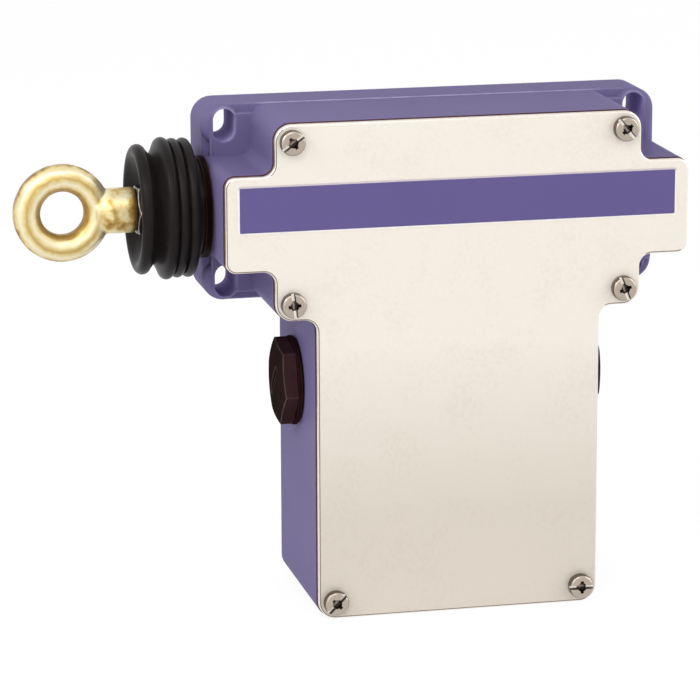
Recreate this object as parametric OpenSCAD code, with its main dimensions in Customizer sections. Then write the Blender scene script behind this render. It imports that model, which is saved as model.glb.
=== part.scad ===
// Rope pull switch, single-ended: a T-shaped die-cast housing with a screwed front cover.
// A rope hooked into the eye pulls a rod out to the left against a return spring; two cones on
// the rod press the plungers of two double-break contact blocks in the box below.
// Origin: centre of the four fixing slots, on the mounting face. The cover faces -Y, the eye -X.

/* [Cover and housing] */
// Depth from the mounting face to the front of the cover
case_d = 51; // [48:0.5:60]
// Width of the cover across its two arms
arm_w = 132.7; // [126:0.1:150]
// Height of the arms
arm_h = 26.8; // [24:0.1:32]
// Width of the cover where its upper screws are
shoulder_w = 104.8; // [98:0.1:110]
// Height of the crossbar of the T
bar_h = 55.2; // [52:0.1:60]
// Width of the lower box
box_w = 81.4; // [76:0.1:90]
// Distance from the centre of the crossbar to the bottom edge
box_reach = 114.4; // [100:0.1:140]
// Radius of the corners that carry a cover screw
corner_r = 4.9; // [4:0.1:6]
// Radius of the corners of the arms
arm_r = 3; // [1:0.1:5]
// Radius of the hollow corners
notch_r = 3.5; // [1:0.1:5]
// How far the housing stands proud of the cover's edge
proud = 0.25; // [0:0.05:1]
// Thickness of the side walls
wall_t = 3.2; // [2.5:0.1:4]
// Thickness of the back wall
back_t = 3.2; // [2.5:0.1:5]
// Thickness of the cover plate
cover_t = 2; // [1.5:0.1:3]
// Depth and width of the small step round the cover's front edge
cover_step = 0.4; // [0.2:0.1:0.8]
// Thickness of the cover gasket
gasket_t = 0.6; // [0.3:0.1:1]
// Distance from the cover's edges to the centres of its screws
screw_edge = 4.8; // [4.5:0.1:6]
// Radius of the bosses that the cover screws go into
boss_r = 4.6; // [4:0.1:5]

/* [Fixing lugs] */
// Thickness of the lugs
lug_t = 17.7; // [12:0.1:22]
// Height over the upper and lower lugs
lug_h = 56.4; // [55:0.1:64]
// Corner radius of the lugs
lug_r = 6; // [4:0.1:8]
// Rounding of the front edge of the lugs
lug_edge_r = 2.4; // [1:0.1:3]
// Distance between the slots across the housing
slot_pitch_x = 120.2; // [116:0.1:124]
// Distance between the slots up the housing
slot_pitch_z = 44.8; // [42:0.1:46]
// Width of a slot
slot_w = 6.4; // [5:0.1:7]
// Length of a slot from end to end
slot_l = 9.4; // [7.5:0.1:10]

/* [Band] */
// Width of the printed foil band
band_w = 125; // [80:0.5:128]
// Height of the band
band_h = 12.8; // [6:0.1:16]
// Distance from the upper edge of the arms down to the band
band_drop = 2.8; // [2:0.1:6]
// Thickness of the foil
band_t = 0.15; // [0.1:0.05:0.3]

/* [Screws] */
// Thread diameter of the cover, earth and mounting plate screws
screw_d = 4; // [3:0.5:5]
// Head diameter of those screws
head_d = 7; // [6:0.1:7.6]
// Head height of those screws
head_h = 2.6; // [2:0.1:3.2]
// Slot width in a screw head
driver_slot = 1.1; // [0.8:0.1:1.4]

/* [Conduit entries] */
// Diameter of the threaded entry
entry_d = 20; // [16:0.5:22]
// Wall left round the entry's thread
entry_wall = 2.5; // [2:0.1:3]
// Depth of the entries' axis in front of the mounting face
entry_front = 22.2; // [22:0.1:28]
// Height of the entries above the mounting slots' centre, negative downwards
entry_z = -51.3; // [-80:0.1:-46]
// Wall reinforcement inside the entry, measured from the outer face
entry_depth = 9.4; // [6:0.1:10]
// Width across the flats of the plug's head
plug_af = 21; // [20:0.1:24]
// Height of the plug's hexagon
plug_hex_h = 3.5; // [2:0.1:6]
// Thickness of the plug's flange
plug_flange_t = 1.1; // [1:0.1:3]
// How far the flange stands out beyond the hexagon's corners
plug_lip = 0.7; // [0.2:0.1:1.2]
// Thickness of the flat seal under the plug
seal_t = 0.7; // [0.4:0.1:1.5]
// Chamfer on the corners of the plug's hexagon
plug_chamfer = 0.5; // [0.3:0.1:2]
// Wall thickness of the plug's threaded part
plug_wall = 2.5; // [1.5:0.1:4]
// Length, width and depth of the coin slot in the plug's head
plug_slot = [13, 2.4, 1.2];
// Turn of the tightened left-hand hexagon about its axis
plug_turn = 41; // [0:1:59]

/* [Pull rod] */
// Diameter of the pull rod
rod_d = 8; // [7:0.1:9]
// Depth of the rod's axis in front of the mounting face
rod_y = 20.2; // [20.2:0.1:24]
// Full pull travel
travel = 8; // [4:0.5:9]
// Radial running clearance of the rod in its bushes
run_c = 0.05; // [0.02:0.01:0.1]
// Gap kept between parts that move past each other
air = 0.3; // [0.2:0.05:0.5]
// Gap left round what is pressed or screwed into a hole
snug = 0.03; // [0:0.01:0.06]

/* [Eye] */
// Distance from the housing's end wall to the centre of the eye
eye_reach = 40.5; // [36:0.5:60]
// Radius of the ring's centre line
ring_r = 10; // [9:0.1:14]
// Diameter of the ring's section
ring_d = 7.8; // [5:0.1:9]
// Diameter of the neck
neck_d = 12.9; // [12:0.1:16]
// Distance from the end wall to the near end of the neck
neck_end = 19.7; // [19.5:0.1:22]
// Thickness of the lock nut
nut_t = 4; // [3:0.1:4.4]
// Width across the flats of the lock nut
nut_af = 13; // [12:0.5:14]

/* [Bellows] */
// Outer radius of the three rear ribs, the last one being the large one
rib_r = [19.7, 19.7, 20.1];
// Distance of the first rib from the end wall
rib_first = 5.6; // [4.8:0.1:6]
// Distance from one rib to the next
rib_pitch = 3.1; // [3:0.05:3.2]
// Radius of the grooves between the ribs
groove_r = 17.9; // [17:0.1:18.4]
// Radius at the bottom of the wide valley in front of the ribs
valley_r = 15.5; // [14.5:0.1:17]
// Distance of the valley from the end wall
valley_at = 15.2; // [14.8:0.1:15.6]
// Outer radius of the front lip
lip_r = 18.4; // [17.5:0.1:19.5]
// Distance of the lip's crest from the end wall
lip_at = 18.6; // [18.5:0.1:19.2]
// Thickness of the rubber
rubber_t = 1.3; // [1:0.1:1.6]

/* [Gland and bushes] */
// Outer diameter of the gland's collar
collar_d = 28.8; // [26:0.1:34]
// Thickness of the collar
collar_t = 2; // [1.5:0.1:2.4]
// Diameter of the gland's spigot in the end wall
spigot_d = 18; // [16:0.5:20]
// Diameter of the neck that holds the bellows' cuff
cuff_d = 21; // [19:0.5:23]
// Distance that the cuff's neck stands out in front of the collar
cuff_l = 3; // [2:0.1:3.2]
// Outer diameter of the guide bushes
bush_d = 12; // [11:0.1:14]
// Length of the left-hand bush
bush_l = 13; // [8:0.1:13.3]
// Section diameter of the rod's O-ring
oring_d = 1.8; // [1.5:0.1:1.9]
// Distance from the end wall to the inner end of the left-hand boss
left_boss = 10.6; // [8:0.1:11]
// Length of the right-hand bush
right_bush_l = 15; // [12:0.5:16]

/* [Return spring] */
// Outer diameter of the spring
spring_d = 17; // [14:0.5:18]
// Wire diameter of the spring
spring_wire = 1.8; // [1:0.1:2.2]
// Length of the spring at rest
spring_l = 22; // [20:0.5:24]
// Number of turns
spring_turns = 5.5; // [4:0.5:6]
// Thickness of the washer and of the cup that hold the spring
seat_t = 1.2; // [0.8:0.1:2]
// Thickness of the retaining clip
clip_t = 1; // [0.8:0.1:1.2]

/* [Cam sleeve] */
// Diameter of the sleeve between its cones
sleeve_d = 12; // [11:0.1:13]
// Plunger stroke for each millimetre of pull
cam_ratio = 0.35; // [0.25:0.01:0.4]
// Run-on of each cone beyond the travel at both ends
cam_over = 2.5; // [2:0.1:3]
// Diameter of the cross pin
pin_d = 2.5; // [2:0.1:3]

/* [Contact blocks] */
// Gap between the two blocks
block_gap = 2; // [1:0.5:3]
// Width of a block
block_w = 26; // [25:0.5:26.5]
// Depth of a block
block_d = 22; // [20:0.5:24]
// Height of a block
block_h = 41.5; // [41:0.5:46]
// Distance from the rod's axis down to the top of a block
block_top = 12.5; // [12.3:0.1:13.5]
// Diameter of the plunger
plunger_d = 5; // [4.5:0.1:5.4]
// Width and depth of the contact chamber
chamber = [20, 12];
// Thickness of the bridging contacts and of the fixed strips
strip_t = 1; // [0.8:0.1:1.2]
// Height of a contact tip
tip_h = 0.6; // [0.4:0.1:0.8]
// Diameter of a contact tip
tip_d = 3; // [2:0.1:3.4]
// Distance of the contact tips from the plunger's axis
tip_x = 8; // [7.5:0.1:8]
// Depth of the upper fixed strips below the block's top
upper_strip = 5.5; // [5:0.1:6]
// Distance between the two bridging contacts
bridge_gap = 13.5; // [12:0.1:14]
// Wire diameter of the small springs
fine_wire = 0.6; // [0.4:0.1:0.7]
// Width and height of a terminal pad
pad = [7.5, 8];
// Thread diameter of the terminal and block screws
m3_d = 3.4; // [3:0.1:3.6]
// Head diameter of the terminal and block screws
m3_head_d = 6; // [5:0.1:6.2]
// Head height of the terminal and block screws
m3_head_h = 2.2; // [1.6:0.1:2.6]
// Length of a terminal screw under its head
terminal_screw_l = 5.6; // [4:0.1:6]
// Width, height and thickness of a terminal clamp
clamp = [6.4, 6, 1.2];

/* [Mounting plate and earth] */
// Thickness of the mounting plate
plate_t = 1.5; // [1:0.1:2]
// How far the plate reaches beyond the blocks on each side
plate_ear = 8; // [7.5:0.1:8.4]
// How far the plate reaches below the blocks
plate_foot = 13; // [10:0.5:16]
// Distance of the plate's screws from its edges
plate_screw_edge = 4; // [3.6:0.1:4.4]
// Head diameter of the plate's screws
plate_head_d = 6.4; // [6:0.1:6.8]
// Height of the earth screw above the bottom edge of the cover
earth_up = 16.4; // [12:0.1:20]
// Height of the earth screw's boss above the back of the housing
earth_boss = 14; // [8:0.5:24]
// Side of the square earth clamp
earth_clamp_w = 8; // [7:0.1:10]

/* [Hidden] */
$fn = 48;

eps = 0.01;
body_d = case_d - cover_t - gasket_t;
end_x = arm_w / 2 + proud;
side_x = box_w / 2 + proud;
entry_y = -entry_front;
axis_y = -rod_y;
screw_r = screw_d / 2;
screw_len = 12;
screw_points = [
    for (s = [-1, 1]) each [
        [s * (shoulder_w / 2 - screw_edge), bar_h / 2 - screw_edge],
        [s * (shoulder_w / 2 - screw_edge), -(bar_h / 2 - screw_edge)],
        [s * (box_w / 2 - screw_edge), screw_edge - box_reach]]];
head_turn = [28, -83, 45, -50, -69, 0];
terminal_turn = 35;

neck_x = -(end_x + neck_end);
eye_x = -(end_x + eye_reach);
nut_x = neck_x + nut_t;
rod_tip_x = neck_x - 9;
boss_x = -(end_x - left_boss);
thread_step = 0.1;
spring_x = boss_x + seat_t;
cup_x = spring_x + spring_l;
clip_x = cup_x + seat_t;
clip_groove = 0.8;
right_x = end_x - wall_t - 2;
bush_x = right_x - right_bush_l;
rod_end_x = right_x - 1;
stop_l = 4;
stop_wall = 4;
grub_d = 2.5;
stop_x = bush_x - air - stop_l;
block_x = (block_w + block_gap) / 2;
cone_l = travel + 2 * cam_over;
cam_slope = atan(cam_ratio);
cam_top_r = sleeve_d / 2 + cone_l * cam_ratio;
sleeve_x = [-block_x - cam_over - 2, block_x + travel + cam_over + 2];
pin_x = (sleeve_x[0] + sleeve_x[1]) / 2;

block_z = -block_top;
block_back = axis_y + block_d / 2;
block_front = axis_y - block_d / 2;
plunger_r = plunger_d / 2;
plunger_z = -(sleeve_d / 2 + cam_over * cam_ratio + (plunger_r + air) / cos(cam_slope));
stroke = travel * cam_ratio;
upper_z = block_z - upper_strip;
upper_bridge_z = upper_z - strip_t - 2 * tip_h - air;
lower_bridge_z = upper_bridge_z - bridge_gap;
lower_z = lower_bridge_z - strip_t - 2 * tip_h - stroke - air;
shoulder_t = 1.5;
stem_r = 1.6;
collar_z = lower_bridge_z - strip_t - shoulder_t;
chamber_top = block_z - 3.5;
chamber_bottom = lower_z - strip_t - 6.5;
stem_z = chamber_bottom - 1;
pad_x = 5;
block_screw = [8, (chamber_bottom + block_z - block_h) / 2];
clamp_front = block_front - strip_t - clamp[2];
terminal_hole = terminal_screw_l - strip_t - clamp[2] + 0.8;
pillar_r = screw_r + 2;
plate_back = block_back + plate_t;
plate_half = block_x + block_w / 2 + plate_ear;
plate_z = [block_z, block_z - block_h - plate_foot];
plate_screw_x = plate_half - plate_screw_edge;
plate_screw_z = [plate_z[0] - plate_screw_edge, plate_z[1] + plate_screw_edge];
earth_z = earth_up - box_reach;

// ---------- shared shapes ----------

// A slab between two depths, from an outline drawn in X and Z.
module slab(back, front) {
    translate([0, back, 0]) rotate([90, 0, 0]) linear_extrude(back - front) children();
}

// A cylinder along Y between two depths, centred on a point in X and Z.
module bore_y(p, back, front, r) {
    translate([p[0], back, p[1]]) rotate([90, 0, 0]) cylinder(r = r, h = back - front);
}

// A cylinder along X on a line at y, z.
module bar_x(x0, x1, y, z, r) {
    translate([x0, y, z]) rotate([0, 90, 0]) cylinder(r = r, h = x1 - x0);
}

// A round tube along X on the rod's axis.
module ring_x(x0, x1, ro, ri) {
    difference() {
        bar_x(x0, x1, axis_y, 0, ro);
        bar_x(x0 - 1, x1 + 1, axis_y, 0, ri);
    }
}

module rounded(w, h, r) {
    square([w - 2 * r, h], center = true);
    square([w, h - 2 * r], center = true);
    for (sx = [-1, 1], sy = [-1, 1]) translate([sx * (w / 2 - r), sy * (h / 2 - r)]) circle(r);
}

// Fills a hollow corner at the origin with a concave fillet.
module fillet(r) {
    difference() {
        translate([-eps, -eps]) square(r + eps);
        translate([r, r]) circle(r);
    }
}

// The T-shaped outline shared by cover, gasket and housing.
module case_outline(grow = 0) {
    hollow = max(notch_r - grow, 0.2);
    rounded(arm_w + 2 * grow, arm_h + 2 * grow, max(arm_r + grow, 0.4));
    rounded(shoulder_w + 2 * grow, bar_h + 2 * grow, max(corner_r + grow, 0.4));
    translate([0, -box_reach / 2])
        rounded(box_w + 2 * grow, box_reach + 2 * grow, max(corner_r + grow, 0.4));
    for (s = [0, 1]) mirror([s, 0]) {
        for (t = [0, 1]) mirror([0, t])
            translate([shoulder_w / 2 + grow, arm_h / 2 + grow]) fillet(hollow);
        translate([box_w / 2 + grow, -(bar_h / 2 + grow)]) mirror([0, 1]) fillet(hollow);
    }
}

module cavity_outline() {
    difference() {
        case_outline(proud - wall_t);
        for (p = screw_points) translate(p) circle(boss_r);
    }
}

module slot_outline() {
    square([slot_w, slot_l - slot_w], center = true);
    for (s = [-1, 1]) translate([0, s * (slot_l - slot_w) / 2]) circle(slot_w / 2);
}

// Cheese-head screw along Y: head face at head_y, cross-slotted, shank going back.
module cheese_screw(p, seat_y, shank, turn, d = screw_d, hd = head_d, hh = head_h) {
    translate([p[0], seat_y, p[1]]) rotate([90, 0, 0]) difference() {
        union() {
            cylinder(d = hd, h = hh);
            translate([0, 0, -shank]) cylinder(r = d / 2 - snug, h = shank + eps);
        }
        rotate([0, 0, turn]) translate([0, 0, hh]) {
            cube([hd + 1, driver_slot, hh], center = true);
            cube([driver_slot, hd * 0.56, hh], center = true);
        }
    }
}

// A coil wound about Z, from z = 0 to z = len over its wire.
module coil(len, turns, r, wire, steps, sides) {
    rings = turns * steps;
    points = [for (i = [0:rings], j = [0:sides - 1])
        let (a = 360 * i / steps, b = 360 * j / sides, q = r + wire / 2 * cos(b))
        [q * cos(a), q * sin(a), wire / 2 + (len - wire) * i / rings + wire / 2 * sin(b)]];
    skin = [for (i = [0:rings - 1], j = [0:sides - 1])
        let (k = (j + 1) % sides)
        [i * sides + j, (i + 1) * sides + j, (i + 1) * sides + k, i * sides + k]];
    caps = [[for (j = [0:sides - 1]) j], [for (j = [sides - 1:-1:0]) rings * sides + j]];
    polyhedron(points, concat(skin, caps), convexity = 10);
}

// ---------- housing and cover ----------

// Lug slab with its front edge rounded over.
module lug_slab() {
    lug_w = 2 * end_x;
    flat_t = lug_t - lug_edge_r;
    slab(0, -flat_t) rounded(lug_w, lug_h, lug_r);
    slab(-flat_t + eps, -lug_t) rounded(lug_w - 2 * lug_edge_r, lug_h - 2 * lug_edge_r, lug_r - lug_edge_r);
    for (s = [-1, 1]) {
        bar_x(-lug_w / 2 + lug_r, lug_w / 2 - lug_r, -flat_t, s * (lug_h / 2 - lug_edge_r), lug_edge_r);
        translate([s * (lug_w / 2 - lug_edge_r), -flat_t, 0])
            cylinder(r = lug_edge_r, h = lug_h - 2 * lug_r, center = true);
        for (t = [-1, 1]) translate([s * (lug_w / 2 - lug_r), -flat_t, t * (lug_h / 2 - lug_r)])
            rotate([90, 0, 0]) rotate_extrude() translate([lug_r - lug_edge_r, 0]) circle(lug_edge_r);
    }
}

module housing() {
    color([0.44, 0.41, 0.59]) difference() {
        union() {
            difference() {
                union() {
                    slab(0, -body_d) case_outline(proud);
                    lug_slab();
                }
                slab(-back_t, -body_d - 1) cavity_outline();
            }
            // guide bosses for the gland and the right-hand bush
            bar_x(-end_x + 1, boss_x, axis_y, 0, spigot_d / 2 + 3.2);
            bar_x(bush_x, end_x - 1, axis_y, 0, bush_d / 2 + 3.2);
            // thickened conduit entries
            for (s = [0, 1]) mirror([s, 0, 0])
                bar_x(side_x - entry_depth, side_x - 1, entry_y, entry_z, entry_d / 2 + entry_wall);
            // pillars for the mounting plate and the earth screw
            for (s = [-1, 1], z = plate_screw_z)
                bore_y([s * plate_screw_x, z], -back_t + 1, plate_back, pillar_r);
            bore_y([0, earth_z], -back_t + 1, -earth_boss, screw_r + 3);
        }
        for (sx = [-1, 1], sz = [-1, 1])
            translate([sx * slot_pitch_x / 2, 0, sz * slot_pitch_z / 2])
                slab(1, -lug_t - 1) slot_outline();
        for (p = screw_points) bore_y(p, -body_d + screw_len + 3, -body_d - 1, screw_r);
        for (s = [-1, 1], z = plate_screw_z)
            bore_y([s * plate_screw_x, z], -back_t + 2, plate_back - 1, screw_r);
        bore_y([0, earth_z], -back_t - 1, -earth_boss - 1, screw_r);
        bar_x(-end_x - 1, boss_x + 1, axis_y, 0, spigot_d / 2);
        bar_x(bush_x - 1, right_x + 0.5, axis_y, 0, bush_d / 2);
        for (s = [0, 1]) mirror([s, 0, 0])
            bar_x(side_x - entry_depth - 1, side_x + 1, entry_y, entry_z, entry_d / 2);
    }
}

module cover_gasket() {
    color([0.42, 0.24, 0.2]) difference() {
        slab(-body_d, -body_d - gasket_t) difference() {
            case_outline(-0.2);
            difference() {
                case_outline(proud - wall_t);
                for (p = screw_points) translate(p) circle(boss_r);
            }
        }
        for (p = screw_points) bore_y(p, 0, -case_d, screw_r + air);
    }
}

module cover_plate() {
    front = -case_d + cover_step;
    color([0.87, 0.83, 0.77]) difference() {
        union() {
            slab(-case_d + cover_t, front) case_outline();
            slab(front + eps, -case_d) case_outline(-cover_step);
        }
        for (p = screw_points) bore_y(p, 0, -case_d - 1, screw_r + air);
    }
}

module cover_band() {
    color([0.42, 0.37, 0.58]) translate([0, 0, (arm_h - band_h) / 2 - band_drop])
        slab(-case_d, -case_d - band_t) square([band_w, band_h], center = true);
}

module cover_screws() {
    color([0.78, 0.75, 0.7])
        for (i = [0:len(screw_points) - 1])
            cheese_screw(screw_points[i], -case_d, cover_t + gasket_t + screw_len, head_turn[i]);
}

// ---------- conduit entries ----------

// Plug pointing along +X from the wall's outer face at x = 0.
module conduit_plug(turn) {
    corner_r = plug_af / 2 / cos(30);
    top = seal_t + plug_flange_t + plug_hex_h;
    color([0.12, 0.07, 0.07]) rotate([0, 90, 0]) difference() {
        union() {
            translate([0, 0, seal_t - entry_depth]) cylinder(r = entry_d / 2 - snug, h = entry_depth + eps);
            translate([0, 0, seal_t]) cylinder(r = corner_r + plug_lip, h = plug_flange_t);
            intersection() {
                translate([0, 0, top - plug_hex_h - eps]) rotate([0, 0, turn])
                    cylinder(r = corner_r, h = plug_hex_h + eps, $fn = 6);
                // the cone that chamfers the six corners
                cylinder(r1 = corner_r - plug_chamfer + top, r2 = corner_r - plug_chamfer, h = top);
            }
        }
        translate([0, 0, seal_t - entry_depth - 1]) cylinder(r = entry_d / 2 - plug_wall, h = entry_depth);
        translate([0, 0, top]) rotate([0, 0, turn]) cube([plug_slot[0], plug_slot[1], 2 * plug_slot[2]], center = true);
    }
}

module conduit_plug_left() {
    translate([-side_x, entry_y, entry_z]) mirror([1, 0, 0]) conduit_plug(plug_turn);
}

module conduit_plug_right() {
    translate([side_x, entry_y, entry_z]) conduit_plug(0);
}

module plug_seals() {
    color([0.08, 0.08, 0.08]) for (s = [0, 1]) mirror([s, 0, 0]) difference() {
        bar_x(side_x, side_x + seal_t, entry_y, entry_z, plug_af / 2 + 1.2);
        bar_x(side_x - 1, side_x + seal_t + 1, entry_y, entry_z, entry_d / 2 + 0.1);
    }
}

// ---------- gland, bellows and bushes ----------

module gland_collar() {
    color([0.1, 0.09, 0.09]) difference() {
        union() {
            bar_x(-end_x - collar_t, -end_x, axis_y, 0, collar_d / 2);
            bar_x(-end_x - collar_t - cuff_l, -end_x, axis_y, 0, cuff_d / 2);
            bar_x(-end_x - eps, boss_x, axis_y, 0, spigot_d / 2 - snug);
        }
        bar_x(-end_x - 20, boss_x + 1, axis_y, 0, bush_d / 2);
    }
}

// Rounded crest of a rib, as points from its rear flank to its front flank.
function crest(at, r, width) = [for (a = [0:30:180]) [at - width / 2 * cos(a), r - width / 2 + width / 2 * sin(a)]];

module bellows() {
    rib_w = rib_pitch - 0.4;
    lip_w = 3.8;
    cuff_r = cuff_d / 2;
    back = collar_t;
    front = lip_at + lip_w / 2;
    hub_front = neck_end - nut_t - air;
    hub_back = hub_front - 1.6 * rubber_t;
    hub_r = nut_af / 2 / cos(30) + 1;
    outer = [
        [back, cuff_r + 1.6 * rubber_t], [rib_first - rib_w / 2, cuff_r + 1.6 * rubber_t],
        each crest(rib_first, rib_r[0], rib_w),
        [rib_first + rib_pitch / 2, groove_r],
        each crest(rib_first + rib_pitch, rib_r[1], rib_w),
        [rib_first + rib_pitch * 1.5, groove_r],
        each crest(rib_first + 2 * rib_pitch, rib_r[2], rib_w),
        [valley_at, valley_r],
        each crest(lip_at, lip_r, lip_w),
        [front, lip_r - lip_w / 2 - rubber_t],
        [hub_front, hub_r], [hub_front, rod_d / 2 + run_c], [hub_back, rod_d / 2 + run_c],
        [hub_back, hub_r - 1],
        [valley_at - 0.5, valley_r - rubber_t - 1], [valley_at - 1.5, valley_r - rubber_t - 0.4]];
    inner = [
        for (i = [2:-1:0]) let (at = rib_first + i * rib_pitch) each [
            [at + 0.5, groove_r - rubber_t], [at + 0.5, rib_r[i] - rubber_t],
            [at - 0.5, rib_r[i] - rubber_t], [at - 0.5, groove_r - rubber_t]]];
    cuff = [[back + cuff_l + 0.2, cuff_r + 0.5], [back + cuff_l + 0.2, cuff_r + snug], [back, cuff_r + snug]];
    color([0.1, 0.1, 0.1]) translate([-end_x, axis_y, 0]) rotate([0, -90, 0]) rotate_extrude()
        polygon([for (p = concat(outer, inner, cuff)) [p[1], p[0]]]);
}

module rod_seal() {
    x = boss_x - bush_l - oring_d / 2 - 0.1;
    color([0.06, 0.06, 0.06]) translate([x, axis_y, 0]) rotate([0, 90, 0])
        rotate_extrude() translate([rod_d / 2 + run_c + oring_d / 2, 0]) circle(d = oring_d);
}

module guide_bush_left() {
    color([0.72, 0.53, 0.3]) ring_x(boss_x - bush_l, boss_x, bush_d / 2 - snug, rod_d / 2 + run_c);
}

module guide_bush_right() {
    color([0.72, 0.53, 0.3]) ring_x(bush_x, right_x, bush_d / 2 - snug, rod_d / 2 + run_c);
}

// ---------- pulled parts ----------

module eye_nut() {
    dome_l = ring_d;
    dome_x = eye_x + ring_r - ring_d / 4;
    dome = [for (a = [0:15:90])
        [ring_d / 2 + (neck_d - ring_d) / 2 * sin(a), dome_l * (1 - cos(a))]];
    chamfer = 0.8;
    color([0.85, 0.75, 0.4]) translate([0, axis_y, 0]) difference() {
        union() {
            translate([eye_x, 0, 0]) rotate([90, 0, 0])
                rotate_extrude() translate([ring_r, 0]) circle(d = ring_d);
            translate([dome_x, 0, 0]) rotate([0, 90, 0]) rotate_extrude()
                polygon(concat([[0, 0]], dome, [[neck_d / 2, neck_x - dome_x - chamfer],
                    [neck_d / 2 - chamfer, neck_x - dome_x], [0, neck_x - dome_x]]));
        }
        translate([eye_x, 0, 0]) rotate([90, 0, 0])
            cylinder(r = ring_r - ring_d / 2, h = neck_d + 2, center = true);
        bar_x(rod_tip_x - 0.5, neck_x + 1, 0, 0, rod_d / 2 - thread_step + snug);
    }
}

module lock_nut() {
    // each face's corners are cut back by a cone of 30 degrees
    cone_r = nut_af / 2 + nut_t / tan(30);
    color([0.75, 0.75, 0.76]) translate([neck_x, axis_y, 0]) rotate([0, 90, 0]) difference() {
        intersection() {
            rotate([0, 0, 30]) cylinder(d = nut_af / cos(30), h = nut_t, $fn = 6);
            cylinder(r1 = nut_af / 2, r2 = cone_r, h = nut_t);
            cylinder(r1 = cone_r, r2 = nut_af / 2, h = nut_t);
        }
        translate([0, 0, -1]) cylinder(r = rod_d / 2 - thread_step + snug, h = nut_t + 2);
    }
}

module pull_rod() {
    color([0.7, 0.7, 0.72]) difference() {
        union() {
            bar_x(rod_tip_x, nut_x + eps, axis_y, 0, rod_d / 2 - thread_step);
            bar_x(nut_x, rod_end_x, axis_y, 0, rod_d / 2);
        }
        ring_x(clip_x, clip_x + clip_t, rod_d, rod_d / 2 - clip_groove);
        cam_pin_hole(0);
    }
}

module spring_washer() {
    color([0.75, 0.75, 0.76]) ring_x(boss_x, spring_x, spring_d / 2 + 1, rod_d / 2 + air);
}

module return_spring() {
    color([0.45, 0.45, 0.47]) translate([spring_x, axis_y, 0]) rotate([0, 90, 0])
        coil(spring_l, spring_turns, (spring_d - spring_wire) / 2, spring_wire, 14, 8);
}

module spring_cup() {
    color([0.75, 0.75, 0.76]) {
        ring_x(cup_x, cup_x + seat_t, spring_d / 2 + 1, rod_d / 2 + snug);
        ring_x(cup_x - 2, cup_x + eps, spring_d / 2 - spring_wire - air, rod_d / 2 + snug);
    }
}

module cup_clip() {
    color([0.3, 0.3, 0.32]) difference() {
        ring_x(clip_x, clip_x + clip_t, rod_d / 2 + 2.5, rod_d / 2 - clip_groove + snug);
        translate([clip_x - 1, axis_y - 2.2, 0]) cube([clip_t + 2, 4.4, rod_d]);
    }
}

// The hole for the cross pin, made larger or smaller all round by grow.
module cam_pin_hole(grow) {
    translate([pin_x, axis_y, 0]) rotate([90, 0, 0])
        cylinder(r = pin_d / 2 + grow, h = sleeve_d + 2, center = true);
}

module cam_sleeve() {
    color([0.88, 0.87, 0.83]) difference() {
        union() {
            bar_x(sleeve_x[0], sleeve_x[1], axis_y, 0, sleeve_d / 2);
            for (s = [-1, 1]) translate([s * block_x - cam_over, axis_y, 0]) rotate([0, 90, 0])
                cylinder(r1 = sleeve_d / 2, r2 = cam_top_r, h = cone_l);
        }
        bar_x(sleeve_x[0] - 1, sleeve_x[1] + 1, axis_y, 0, rod_d / 2 + snug);
        cam_pin_hole(0);
    }
}

module cam_pin() {
    color([0.6, 0.6, 0.62]) translate([pin_x, axis_y, 0]) rotate([90, 0, 0])
        cylinder(r = pin_d / 2 - snug, h = sleeve_d - 0.6, center = true);
}

module stop_collar() {
    color([0.7, 0.7, 0.72]) difference() {
        ring_x(stop_x, stop_x + stop_l, rod_d / 2 + stop_wall, rod_d / 2 + snug);
        bore_y([stop_x + stop_l / 2, 0], axis_y, axis_y - rod_d, grub_d / 2);
    }
}

module stop_screw() {
    color([0.25, 0.25, 0.27]) translate([stop_x + stop_l / 2, axis_y - rod_d / 2, 0]) rotate([90, 0, 0])
        difference() {
            translate([0, 0, snug]) cylinder(r = grub_d / 2 - snug, h = stop_wall - snug);
            translate([0, 0, stop_wall]) cube([grub_d, 0.6, 1.6], center = true);
        }
}

// ---------- contact blocks ----------

// Fixed strip of one contact: an arm into the chamber and a pad on the block's front.
// dir is +1 where the pad goes down from the arm, -1 where it goes up.
module strip(side, z, dir) {
    arm_back = axis_y + tip_d / 2 + 0.5;
    x0 = tip_x - tip_d / 2;
    mirror([side > 0 ? 0 : 1, 0, 0]) {
        translate([x0, block_front - strip_t, z - strip_t]) cube([tip_d, arm_back - block_front + strip_t, strip_t]);
        difference() {
            translate([pad_x, block_front - strip_t, dir > 0 ? z - pad[1] : z - strip_t])
                cube([pad[0], strip_t, pad[1]]);
            bore_y([pad_x + pad[0] / 2, pad_screw_z(z, dir)], 0, -case_d, m3_d / 2 + snug);
        }
        translate([tip_x, axis_y, dir > 0 ? z - strip_t - tip_h : z]) cylinder(d = tip_d, h = tip_h, $fn = 24);
    }
}

function pad_screw_z(z, dir) = dir > 0 ? z - pad[1] / 2 - strip_t / 2 : z + pad[1] / 2 - strip_t;

// Every fixed contact as [side, z of the arm's top, dir].
contacts = [for (s = [-1, 1]) each [[s, upper_z, 1], [s, lower_z, -1]]];

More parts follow.
